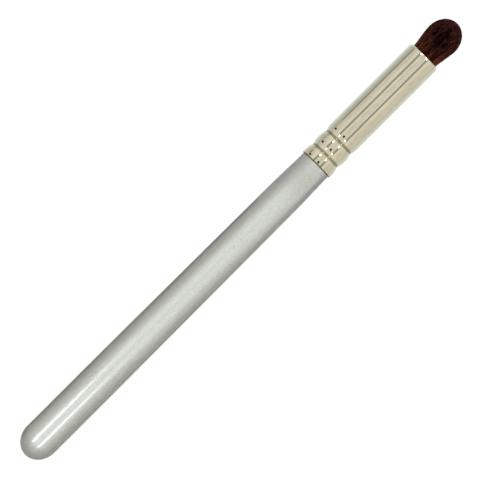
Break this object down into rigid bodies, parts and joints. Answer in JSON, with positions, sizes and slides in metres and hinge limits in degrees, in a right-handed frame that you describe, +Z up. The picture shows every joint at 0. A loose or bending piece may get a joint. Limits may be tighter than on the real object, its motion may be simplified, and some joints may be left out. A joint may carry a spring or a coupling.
{
  "type": "eyeshadow brush",
  "caption": "Slim make-up brush with a long tapered lacquered handle, a crimped tubular metal ferrule and a short domed tuft of dark hair.",
  "frame": {"origin": "on the surface that the brush lies on, under the middle of its overall length and under its axis", "axes": "+X along the brush from the butt to the hair, +Z up from the surface"},
  "size_m": [0.1528, 0.0096, 0.0096],
  "materials": {
    "handle_lacquer": "hardwood under a smooth silver-grey lacquer with a high gloss",
    "ferrule_plating": "drawn brass tube, nickel-plated in a pale champagne tone and polished bright",
    "wood_glue": "set amber adhesive",
    "plug_resin": "set clear brown resin",
    "binding_thread": "waxed cotton thread",
    "tuft_hair": "fine dark brown hair with a soft sheen"
  },
  "bodies": {
    "root": {"handle": "handle_lacquer", "ferrule": "ferrule_plating", "tenon_glue": "wood_glue", "root_plug": "plug_resin", "tuft_binding": "binding_thread", "hair_tuft": "tuft_hair"}
  },
  "joints": []
}
